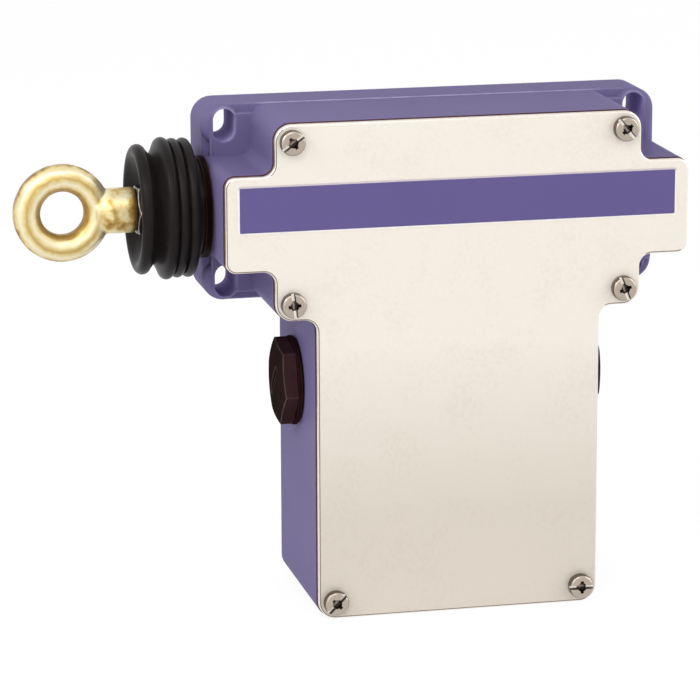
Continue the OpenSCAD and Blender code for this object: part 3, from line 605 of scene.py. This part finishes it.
def plated_steel(name, base, rough, edge=0.0002, crease_shade=0.0, edge_highlight=None):
    """Bright plating, with painted shade in its hollows and a painted highlight on its edges where
    asked.
    """
    mat, tree, shader, coords = start_material(name, base, rough, 0.9)
    grain = noise(tree, coords, size=0.0006, detail=3)
    tree.links.new(spread(tree, grain, rough - 0.06, rough + 0.08), shader.inputs["Roughness"])
    colour = tones(tree, grain, base, 0.93)
    if crease_shade:
        # Painted shade darkens the surface in hollows within this reach.
        crease_shade_tone = ramp(tree, openness(tree, crease_shade), [(0.35, (0.22, 0.18, 0.15)), (0.9, (1, 1, 1))])
        colour = blended(tree, 1.0, colour, crease_shade_tone, "MULTIPLY")
    if edge_highlight:
        # Painted highlight on convex edges.
        colour = painted_edge_highlight(tree, coords, colour, edge_highlight, reach=0.0005, share=1.0)
    tree.links.new(colour, shader.inputs["Base Color"])
    bump(tree, shader, grain, depth=0.00001, strength=0.5, edge=edge)
    return mat


def faces_of(verts):
    """The faces that touch any of the vertices."""
    return {f for v in verts for f in v.link_faces}


def cylinder(bm, radius, length, segments, middle_at):
    """The vertices of a new cylinder along Z, whose middle lies at a height."""
    made = bmesh.ops.create_cone(
        bm, cap_ends=True, segments=segments, radius1=radius, radius2=radius, depth=length,
    )["verts"]
    bmesh.ops.translate(bm, verts=made, vec=(0, 0, middle_at))
    return made


def block(bm, size, height, turn=0.0, taper=(1, 1), sides=0, floor=0):
    """A box at a height, turned about Z, narrower at its foot by the taper, in two finishes."""
    made = bmesh.ops.create_cube(bm, size=1.0)["verts"]
    for f in faces_of(made):
        f.normal_update()
        f.material_index = floor if abs(f.normal.z) > 0.9 else sides
    bmesh.ops.scale(bm, verts=made, vec=size)
    bmesh.ops.scale(bm, verts=[v for v in made if v.co.z < 0], vec=(*taper, 1))
    about = Matrix.Rotation(math.radians(turn), 3, "Z")
    bmesh.ops.rotate(bm, verts=made, cent=(0, 0, 0), matrix=about)
    bmesh.ops.translate(bm, verts=made, vec=(0, 0, height))
    return made


def apply_modifiers(piece):
    """Makes what the piece's modifiers show its own mesh."""
    bpy.context.view_layer.update()
    shown = piece.evaluated_get(bpy.context.evaluated_depsgraph_get())
    done = bpy.data.meshes.new_from_object(shown)
    piece.modifiers.clear()
    old = piece.data
    piece.data = done
    done.name = old.name
    bpy.data.meshes.remove(old)


def discard(piece):
    """Removes a working piece and its mesh."""
    mesh = piece.data
    bpy.data.objects.remove(piece)
    bpy.data.meshes.remove(mesh)


def cut(piece, tool, how="DIFFERENCE"):
    """Takes the tool's shape out of the piece, or keeps what both share, as its mesh."""
    carve = piece.modifiers.new("carve", "BOOLEAN")
    carve.operation = how
    carve.object = tool
    carve.solver = "EXACT"
    carve.use_self = True
    apply_modifiers(piece)
    discard(tool)


def facing_front(bm, verts, x, z, turn):
    """Turns what was built along +Z so that +Z becomes -Y, and sets it on the cover at x, z."""
    place = (
        Matrix.Translation((x, cover_low.y, z))
        @ Matrix.Rotation(math.radians(90), 4, "X")
        @ Matrix.Rotation(math.radians(turn), 4, "Z")
    )
    bmesh.ops.transform(bm, matrix=place, verts=verts)


# Painted light: the head's side and the recesses carry painted shade, the slot's floor a painted
# highlight.
FACE, SHADED_WALL, SLOT_FLOOR_HIGHLIGHT, RECESS_SHADE, RECESS_FLOOR_SHADE = range(5)
screw_finishes = [
    plated_steel("screw_face", (0.47, 0.40, 0.335), 0.3, crease_shade=0.0006),
    plated_steel("screw_wall_shade", (0.14, 0.11, 0.085), 0.4, edge=0),
    plated_steel("slot_floor_highlight", (0.88, 0.83, 0.75), 0.25, edge=0),
    plated_steel("cross_recess_shade", (0.07, 0.05, 0.04), 0.4, edge=0),
    plated_steel("recess_floor_shade", (0.34, 0.28, 0.24), 0.35, edge=0),
]
heads = bmesh.new()
recess = bmesh.new()
for x, z, turn in screw_places:
    head = cylinder(heads, HEAD_R, HEAD_H, 48, HEAD_H / 2)
    top = [
        e for e in heads.edges
        if all(v in head and v.co.z > HEAD_H - ON_PLANE for v in e.verts)
    ]
    round_off(heads, top, HEAD_ROUND, 5)
    head = [v for v in heads.verts if v.co.y > cover_low.y / 2]
    for f in faces_of(head):
        f.normal_update()
        f.material_index = SHADED_WALL if abs(f.normal.z) < 0.5 else FACE
    facing_front(heads, head, x, z, turn)
    shank = cylinder(heads, SHANK_R, SHANK_L, 24, -SHANK_L / 2)
    facing_front(heads, shank, x, z, turn)
    tools = [
        block(recess, SLOT_BLADE, HEAD_H, 0, (1, 0.5), RECESS_SHADE, SLOT_FLOOR_HIGHLIGHT),
        block(recess, CROSS_BLADE, HEAD_H, 0, (0.45, 0.45), RECESS_SHADE, RECESS_FLOOR_SHADE),
        block(recess, CROSS_BLADE, HEAD_H, 90, (0.45, 0.45), RECESS_SHADE, RECESS_SHADE),
        block(recess, CORNER_BLADE, HEAD_H, 45, (0.6, 0.6), RECESS_SHADE, RECESS_SHADE),
        block(recess, CORNER_BLADE, HEAD_H, 135, (0.6, 0.6), RECESS_SHADE, RECESS_SHADE),
    ]
    for tool in tools:
        facing_front(recess, tool, x, z, turn)
screws = finish_piece(
    "cover_screw_set", heads, screw_finishes, "housing", ["cover_screws"], CREASE,
)
cut(screws, finish_piece("recess_tool", recess, screw_finishes, None))
screws.data.set_sharp_from_angle(angle=math.radians(CREASE))

# ---------------------------------------------------------------------------
# Conduit plugs
# Screwed into the entry on each side of the wiring box: a round flange and a
# domed hexagon, moulded in brown-black plastic, each on a thin flat seal.

plug_low, plug_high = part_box("conduit_plug_left")
_, seal_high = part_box("plug_seals")
SIDE_X = BOX_HALF - 0.00025
SEAL_T = seal_high.x - SIDE_X
FLANGE_R = (plug_high.z - plug_low.z) / 2
FLANGE_T = 0.0011
FLANGE_ROUND = 0.0004
HEX_R = FLANGE_R - 0.0002
HEX_TOP = -plug_low.x - SIDE_X
HEX_BLANK = 0.02
DOME = 0.0014
DOME_STEPS = 12
DOME_OVER = 0.0004
DOME_FOOT = SEAL_T + 0.0002
THREAD_R = 0.0099
THREAD_L = 0.0085
THREAD_LAP = 0.0005
PLUG_BORE = 0.0075
PLUG_SLOT = (0.011, 0.0020, 0.0018)
ENTRY_Y = (plug_low.y + plug_high.y) / 2
ENTRY_Z = (plug_low.z + plug_high.z) / 2
WELD = 0.000001


def moulded_plastic(name, base, rough, gloss=0.3, edge_highlight=None):
    """Moulded plastic with a fine grain, and a painted highlight on its edges where asked."""
    mat, tree, shader, coords = start_material(name, base, rough)
    grain = noise(tree, coords, size=0.0004, detail=3)
    tree.links.new(spread(tree, grain, rough - 0.08, rough + 0.1), shader.inputs["Roughness"])
    tone = tones(tree, noise(tree, coords, size=0.006), base, 0.75)
    if edge_highlight:
        # Painted highlight on convex edges.
        tone = painted_edge_highlight(tree, coords, tone, edge_highlight, reach=0.0005, share=0.9)
    tree.links.new(tone, shader.inputs["Base Color"])
    bump(tree, shader, grain, depth=0.00002, strength=0.5, edge=0.0003)
    shader.inputs["Specular IOR Level"].default_value = gloss
    return mat


def turned(bm, points, centre, axis, steps, closed=False):
    """Spins a line of points once round an axis, as on a lathe."""
    line = [bm.verts.new(p) for p in points]
    first = 0 if closed else 1
    path = [bm.edges.new((line[i - 1], line[i])) for i in range(first, len(line))]
    bmesh.ops.spin(
        bm, geom=line + path, cent=centre, axis=axis, angle=math.tau, steps=steps,
        use_merge=True, use_duplicate=False,
    )


# Painted shade: the dome and the flange are darker copies of the flats' plastic; all three carry a
# painted highlight on their edges.
SHADED_DOME, SHADED_FLANGE = 1, 2
plug_finishes = [
    moulded_plastic("plug_flats", (0.052, 0.024, 0.026), 0.45, gloss=0.0, edge_highlight=(0.16, 0.12, 0.115)),
    moulded_plastic("plug_dome_shaded", (0.024, 0.014, 0.013), 0.5, gloss=0.0, edge_highlight=(0.10, 0.075, 0.07)),
    moulded_plastic("plug_flange_shaded", (0.020, 0.006, 0.007), 0.5, gloss=0.0, edge_highlight=(0.07, 0.03, 0.03)),
]


def domed_hexagon(place, turn):
    """A bmesh of a hexagonal bar, cut to a low dome outside and to its seal inside."""
    hexagon = bmesh.new()
    bmesh.ops.create_cone(
        hexagon, cap_ends=True, segments=6, radius1=HEX_R, radius2=HEX_R, depth=HEX_BLANK,
        matrix=place @ Matrix.Rotation(math.radians(90 + turn), 4, "Z"),
    )
    dome = bmesh.new()
    reach = HEX_R + DOME_OVER
    profile = [
        (reach * i / DOME_STEPS, 0, HEX_TOP + DOME * (1 - (i / DOME_STEPS) ** 2))
        for i in range(DOME_STEPS + 1)
    ]
    profile += [(reach, 0, DOME_FOOT), (0, 0, DOME_FOOT)]
    turned(dome, profile, (0, 0, 0), (0, 0, 1), 72)
    bmesh.ops.remove_doubles(dome, verts=dome.verts, dist=WELD)
    bmesh.ops.transform(dome, matrix=place, verts=dome.verts)
    bmesh.ops.recalc_face_normals(dome, faces=dome.faces)
    for f in dome.faces:
        f.material_index = SHADED_DOME
    head = finish_piece("plug_head", hexagon, plug_finishes, None)
    cut(head, finish_piece("dome_tool", dome, plug_finishes, None), "INTERSECT")
    body = bmesh.new()
    body.from_mesh(head.data)
    discard(head)
    return body


# Each plug has a name, the side it closes and the turn of its hexagon in degrees.
for name, side, turn in (("left", -1, -41), ("right", 1, 0)):
    place = (
        Matrix.Translation((side * SIDE_X, ENTRY_Y, ENTRY_Z))
        @ Matrix.Rotation(math.radians(90 * side), 4, "Y")
    )
    body = domed_hexagon(place, turn)
    flange = cylinder(body, FLANGE_R, FLANGE_T, 72, 0)
    for f in faces_of(flange):
        f.material_index = SHADED_FLANGE
    rim = [e for e in body.edges if all(v in flange and v.co.z > 0 for v in e.verts)]
    bmesh.ops.translate(body, verts=flange, vec=(0, 0, SEAL_T + FLANGE_T / 2))
    bmesh.ops.transform(body, matrix=place, verts=flange)
    round_off(body, rim, FLANGE_ROUND, 3)
    thread = cylinder(body, THREAD_R, THREAD_L, 72, SEAL_T + THREAD_LAP - THREAD_L / 2)
    bmesh.ops.transform(body, matrix=place, verts=thread)
    plug = finish_piece(
        "entry_plug_" + name, body, plug_finishes, "housing", ["conduit_plug_" + name], CREASE,
    )
    slot = bmesh.new()
    block(slot, PLUG_SLOT, HEX_TOP + DOME, turn)
    cylinder(slot, PLUG_BORE, THREAD_L, 48, SEAL_T - THREAD_L / 2)
    bmesh.ops.transform(slot, matrix=place, verts=slot.verts)
    for f in slot.faces:
        f.material_index = SHADED_DOME
    cut(plug, finish_piece("slot_tool", slot, plug_finishes, None))
    plug.data.set_sharp_from_angle(angle=math.radians(CREASE))


def soft_rubber(name, base, rough=0.5):
    """Dull rubber with a faint bloom and a fine skin."""
    mat, tree, shader, coords = start_material(name, base, rough)
    bloom = noise(tree, coords, size=0.004, detail=3)
    tree.links.new(spread(tree, bloom, rough - 0.1, rough + 0.12), shader.inputs["Roughness"])
    tree.links.new(tones(tree, bloom, base, 0.8), shader.inputs["Base Color"])
    skin = noise(tree, coords, size=0.0005, detail=3)
    bump(tree, shader, skin, depth=0.00003, strength=0.5)
    shader.inputs["Specular IOR Level"].default_value = 0.08
    return mat


seal_rubber = soft_rubber("seal_rubber", (0.008, 0.007, 0.007))
dress("plug_seals", seal_rubber)

# ---------------------------------------------------------------------------
# Gland and bellows
# A moulded gland screws into the left end wall; the rubber bellows grips its
# neck and the rod, seals both, and stretches when the rope is pulled.

# The collar's convex rims carry a reddish painted highlight.
collar_plastic = moulded_plastic(
    "collar_plastic", (0.009, 0.004, 0.003), 0.35, gloss=0.02, edge_highlight=(0.07, 0.025, 0.015),
)
dress("gland_collar", collar_plastic)

bellows_low, bellows_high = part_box("bellows")
ROD_Y = (bellows_low.y + bellows_high.y) / 2
CUFF_X = bellows_high.x


def rib(at, r, half_width):
    """Points over a rounded rib, from its rear foot to its front foot."""
    angles = [math.radians(a) for a in range(0, 181, 20)]
    return [(at - half_width * math.cos(a), r - half_width * (1 - math.sin(a))) for a in angles]


# Each point lies so far in front of the cuff's end, and has this radius.
outside = [(0.0, 0.0134), (0.0014, 0.0134), (0.0018, 0.0142)]
outside += rib(0.0036, 0.0197, 0.0015)[1:]
outside += rib(0.0067, 0.0197, 0.0015)
outside += rib(0.0098, 0.0201, 0.0017)[:-2]
outside += [(0.0119, 0.0176), (0.0128, 0.0161), (0.0132, 0.0156), (0.0137, 0.0158)]
outside += rib(0.0166, 0.0184, 0.0019)[1:]
outside += [(0.0183, 0.0154), (0.0176, 0.0146), (0.0150, 0.0110), (0.0134, 0.0088)]
inside = [
    (0.0134, 0.0041), (0.0113, 0.0041), (0.0113, 0.0076), (0.0125, 0.0130),
    (0.0114, 0.0142), (0.0100, 0.0181), (0.0096, 0.0181), (0.0083, 0.0166),
    (0.0069, 0.0178), (0.0065, 0.0178), (0.0052, 0.0166), (0.0038, 0.0178),
    (0.0034, 0.0178), (0.0030, 0.0124), (0.0030, 0.0106), (0.0, 0.0106),
]
section = [(CUFF_X - at, ROD_Y, r) for at, r in outside + inside]
bm = bmesh.new()
turned(bm, section, (0, ROD_Y, 0), (1, 0, 0), 96, closed=True)
bmesh.ops.recalc_face_normals(bm, faces=bm.faces)
bellows_skin = soft_rubber("bellows_skin", (0.0145, 0.0113, 0.0113), 0.34)
bellows = finish_piece("bellows_rubber", bm, [bellows_skin], None, ["bellows"], sharp=50)
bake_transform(bellows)

# ---------------------------------------------------------------------------
# Eye nut
# Drop-forged steel, zinc plated and passivated yellow: the ring runs into a
# round neck, which screws on the rod's end. The forging has no sharp corners.

eye_low, eye_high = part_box("eye_nut")
RING_TUBE = 0.0039
RING_R = (eye_high.z - eye_low.z) / 2 - RING_TUBE
EYE_X = eye_low.x + RING_R + RING_TUBE
RING_SWELL = 0.0001
RING_EDGE = EYE_X + RING_R
NECK_ROOT = RING_EDGE - 0.001
NECK_R = 0.00645
NECK_END = eye_high.x
SEAM = 0.00001
FORGE_GRAIN = 0.0004
neck_profile = [
    (NECK_ROOT, 0.0), (NECK_ROOT + 0.0002, 0.0045), (NECK_ROOT + 0.0024, 0.0055),
    (NECK_ROOT + 0.0042, NECK_R), (NECK_END - 0.0006, NECK_R),
    (NECK_END, NECK_R - 0.0008), (NECK_END, 0.0),
]
bm = bmesh.new()
tube = bmesh.ops.create_circle(bm, segments=10, radius=RING_TUBE + RING_SWELL)["verts"]
across_ring = Matrix.Rotation(math.radians(90), 3, "Y")
bmesh.ops.rotate(bm, verts=tube, cent=(0, 0, 0), matrix=across_ring)
bmesh.ops.translate(bm, verts=tube, vec=(EYE_X, ROD_Y, RING_R))
bmesh.ops.spin(
    bm, geom=tube + list(bm.edges), cent=(EYE_X, ROD_Y, 0), axis=(0, 1, 0), angle=math.tau,
    steps=72, use_merge=True, use_duplicate=False,
)
bmesh.ops.recalc_face_normals(bm, faces=bm.faces)
turned(bm, [(x, ROD_Y, r) for x, r in neck_profile], (0, ROD_Y, 0), (1, 0, 0), 48)
bmesh.ops.remove_doubles(bm, verts=bm.verts, dist=SEAM)
bmesh.ops.recalc_face_normals(bm, faces=bm.faces)


def yellow_zinc():
    """Passivated yellow with painted reflection: pale bands on both slopes of the ring, brown on
    its rims; the neck's end is darker brown.
    """
    mat, tree, shader, coords = start_material("yellow_zinc", (0.86, 0.74, 0.42), 0.28, 0.6)
    centred = tree.nodes.new("ShaderNodeMapping")
    centred.inputs["Location"].default_value = (-EYE_X, 0, 0)
    centred.inputs["Scale"].default_value = (1, 0, 1)
    tree.links.new(coords, centred.inputs["Vector"])
    away = tree.nodes.new("ShaderNodeVectorMath")
    away.operation = "LENGTH"
    tree.links.new(centred.outputs["Vector"], away.inputs[0])
    inner, outer = RING_R - RING_TUBE, RING_R + RING_TUBE
    across = spread(tree, away.outputs["Value"], 0.0, 1.0, start=inner, end=outer)
    stain = spread(tree, noise(tree, coords, size=0.003, detail=5), -0.12, 0.12)
    cream, straw = (0.86, 0.79, 0.56), (0.74, 0.60, 0.29)
    gold, brown = (0.52, 0.34, 0.09), (0.28, 0.15, 0.03)
    # Painted reflection: pale and brown bands run across the ring's section.
    ring_reflection_bands = ramp(tree, figure(tree, "ADD", across, stain), [
        (0.0, brown), (1.0, brown), (0.12, gold), (0.24, straw), (0.34, cream), (0.46, straw),
        (0.57, gold), (0.68, straw), (0.80, cream), (0.92, straw),
    ])
    neck_tone = ramp(tree, noise(tree, coords, size=0.004, detail=4), [
        (0.3, brown), (0.7, cream), (0.4, gold), (0.49, straw), (0.6, (0.80, 0.70, 0.43)),
    ])
    x, _, _ = axes(tree, coords)
    on_neck = spread(tree, x, 0.0, 1.0, start=RING_EDGE - 0.002, end=RING_EDGE + 0.002)
    # The neck's last 2 mm turn darker brown.
    darker_end = spread(tree, x, 0.0, 0.85, start=NECK_END - 0.0019, end=NECK_END - 0.0008)
    tone = blended(tree, on_neck, ring_reflection_bands, neck_tone)
    tone = blended(tree, darker_end, tone, (0.30, 0.15, 0.03))
    tree.links.new(tone, shader.inputs["Base Color"])
    skin = noise(tree, coords, size=0.0012, detail=3)
    tree.links.new(spread(tree, skin, 0.3, 0.46), shader.inputs["Roughness"])
    bump(tree, shader, skin, depth=0.00006, strength=0.5)
    return mat


eye = finish_piece("eye_forging", bm, [yellow_zinc()], None, ["eye_nut"], sharp=180)
forge = eye.modifiers.new("forge", "REMESH")
forge.mode = "VOXEL"
forge.voxel_size = FORGE_GRAIN
forge.use_smooth_shade = True
settle = eye.modifiers.new("settle", "SMOOTH")
settle.factor = 0.5
settle.iterations = 4
apply_modifiers(eye)
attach(eye, "rod")

# ---------------------------------------------------------------------------
# Rod, lock nut and stop
# Ground steel rod with an M8 end. The hexagon nut locks the eye; a collar with
# a grub screw stops the rod against the right-hand bush at rest.

zinc = plated_steel("zinc_plating", (0.72, 0.72, 0.71), 0.28, edge=0.0003)
for node in ("pull_rod", "stop_collar", "spring_cup", "spring_washer"):
    dress(node, zinc)
# The lock nut is dark steel whose edges carry a bright painted highlight.
dress("lock_nut", plated_steel("dark_nut_steel", (0.10, 0.09, 0.085), 0.35, edge_highlight=(0.85, 0.85, 0.84)))
wire_steel = plated_steel("wire_steel", (0.42, 0.42, 0.43), 0.35, edge=0)
for node in ("stop_screw", "cup_clip", "cam_pin"):
    dress(node, wire_steel)

# ---------------------------------------------------------------------------
# Bushes and rod seal
# Sintered bronze bushes guide the rod in the gland and in the boss at the
# right; an O-ring in the gland wipes it.

bronze = plated_steel("sintered_bronze", (0.55, 0.33, 0.13), 0.45)
dress("guide_bush_left", bronze)
dress("guide_bush_right", bronze)
dress("rod_seal", seal_rubber)

# ---------------------------------------------------------------------------
# Springs
# The return spring pushes the rod back between its washer and its cup; a small
# one under each plunger lifts it. All three are the CAD coils.


def living_spring(name, node):
    """A spring as its CAD solid, as a smooth-shaded piece in place of its node."""
    bm = bmesh.new()
    bm.from_mesh(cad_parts[node].data)
    bmesh.ops.remove_doubles(bm, verts=bm.verts, dist=WELD)
    spring = finish_piece(name, bm, [wire_steel], None, [node], sharp=60)
    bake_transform(spring)


living_spring(
    "return_coil", "return_spring",
)
for side in ("left", "right"):
    living_spring(
        "plunger_coil_" + side, "plunger_spring_" + side,
    )
    dress("contact_spring_" + side, wire_steel)

# ---------------------------------------------------------------------------
# Cam sleeve
# Turned from natural acetal and pinned to the rod; its two cones press the
# plungers down as the rod slides out.

dress("cam_sleeve", moulded_plastic("acetal", (0.78, 0.76, 0.70), 0.35))

# ---------------------------------------------------------------------------
# Contact blocks
# Two moulded blocks on a zinc-plated plate, each with a red plunger, brass
# bridges and strips, and clamp screws for the wires at the front.

block_plastic = moulded_plastic("block_plastic", (0.03, 0.03, 0.035), 0.45)
plunger_plastic = moulded_plastic("plunger_plastic", (0.42, 0.03, 0.02), 0.35)
contact_brass = plated_steel("contact_brass", (0.78, 0.58, 0.28), 0.25, edge=0.0001)
for side in ("left", "right"):
    dress("contact_block_" + side, block_plastic)
    dress("plunger_" + side, plunger_plastic)
    dress("bridges_" + side, contact_brass)
dress("fixed_contacts", contact_brass)
dress("earth_clamp", contact_brass)
for node in (
    "mounting_plate", "mounting_plate_screws", "block_screws", "terminal_clamps",
    "terminal_screws", "earth_screw",
):
    dress(node, zinc)
